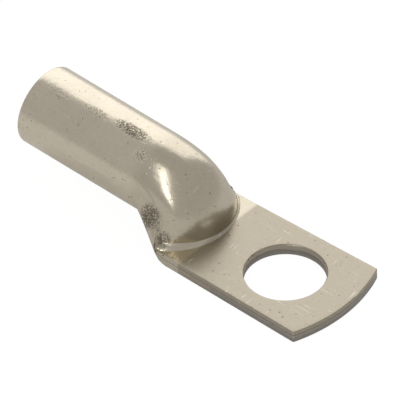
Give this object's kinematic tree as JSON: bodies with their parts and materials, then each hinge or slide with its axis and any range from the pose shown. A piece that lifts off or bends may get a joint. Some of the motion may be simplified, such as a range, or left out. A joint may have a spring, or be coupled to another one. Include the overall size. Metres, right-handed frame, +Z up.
{
  "type": "cable lug",
  "caption": "Tubular cable lug in tinned copper, with a round barrel for the stripped cable, a pressed domed shoulder and a flat palm with a stud hole.",
  "frame": {"origin": "centre of the stud hole on the seat, the palm's underside", "axes": "+X from the cable barrel to the palm's rounded tip, +Z up out of the seat along the stud, +Y to the left of +X"},
  "size_m": [0.0623, 0.02, 0.0154],
  "materials": {
    "tinned_copper": "satin tin plate on copper, warm grey, with fine scratches, bright rubbed edges and dark pitted patches"
  },
  "bodies": {
    "root": {"lug": "tinned_copper"}
  },
  "joints": []
}
